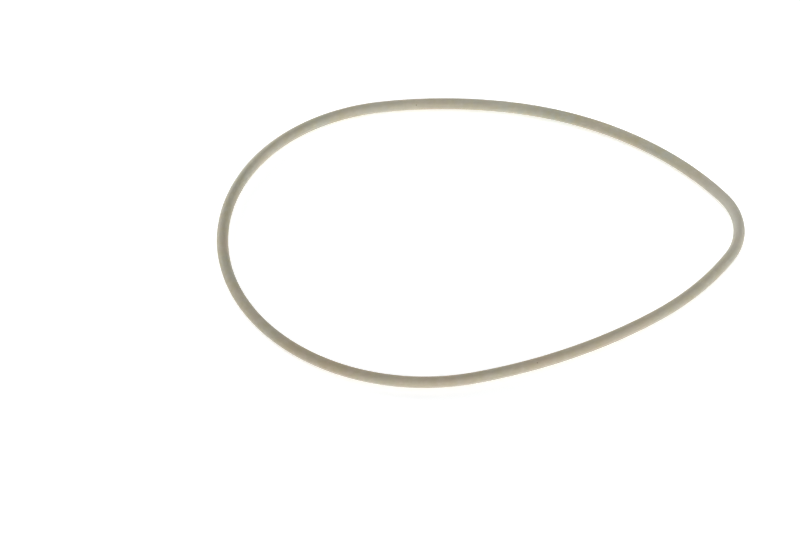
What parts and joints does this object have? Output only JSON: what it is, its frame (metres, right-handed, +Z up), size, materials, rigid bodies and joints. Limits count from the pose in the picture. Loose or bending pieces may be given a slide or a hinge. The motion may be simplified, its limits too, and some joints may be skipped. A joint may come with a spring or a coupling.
{
  "type": "o-ring",
  "caption": "Plain rubber o-ring with a round section, lying slack in an egg-shaped loop; seals the gap between a rod or spigot and its housing.",
  "frame": {"origin": "middle of the slack loop's bounding box, on the surface that the ring lies on", "axes": "+X towards the loop's sharp end, +Y towards its far side, +Z up out of the surface"},
  "size_m": [0.1374, 0.1058, 0.003],
  "materials": {
    "putty_rubber": "matte moulded rubber, putty beige"
  },
  "bodies": {
    "root": {"o_ring": "putty_rubber"}
  },
  "joints": []
}
